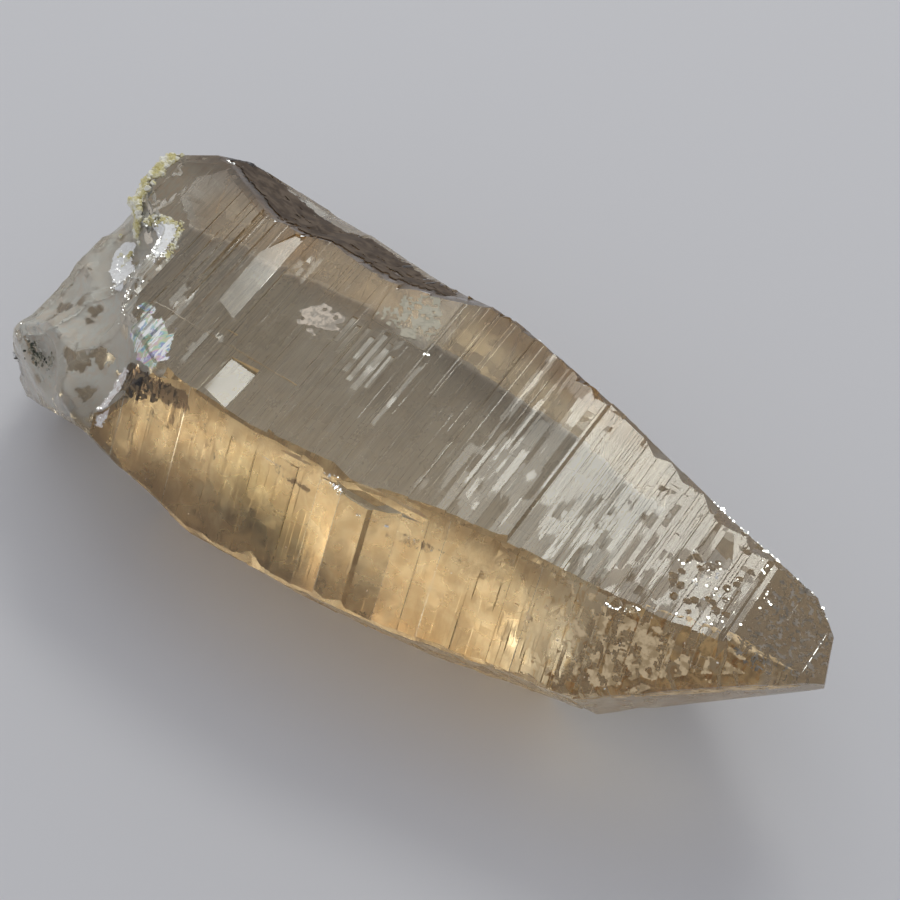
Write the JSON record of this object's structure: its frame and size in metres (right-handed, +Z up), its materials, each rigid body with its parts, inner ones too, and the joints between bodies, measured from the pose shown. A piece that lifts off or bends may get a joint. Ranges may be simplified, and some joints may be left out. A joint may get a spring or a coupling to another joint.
{
  "type": "smoky quartz crystal",
  "caption": "Tapering smoky quartz crystal with growth striations, a broken glassy base and a faceted tip, lying on a prism face.",
  "frame": {"origin": "middle of the crystal's box in plan, at table height", "axes": "+X along the c-axis from the broken base to the tip, +Y to the back of the crystal, +Z up from the table"},
  "size_m": [0.0724, 0.0334, 0.0197],
  "materials": {
    "smoky_quartz": "clear smoky brown quartz, polished by nature, striated"
  },
  "bodies": {
    "root": {"smoky_quartz_crystal": "smoky_quartz"}
  },
  "joints": []
}
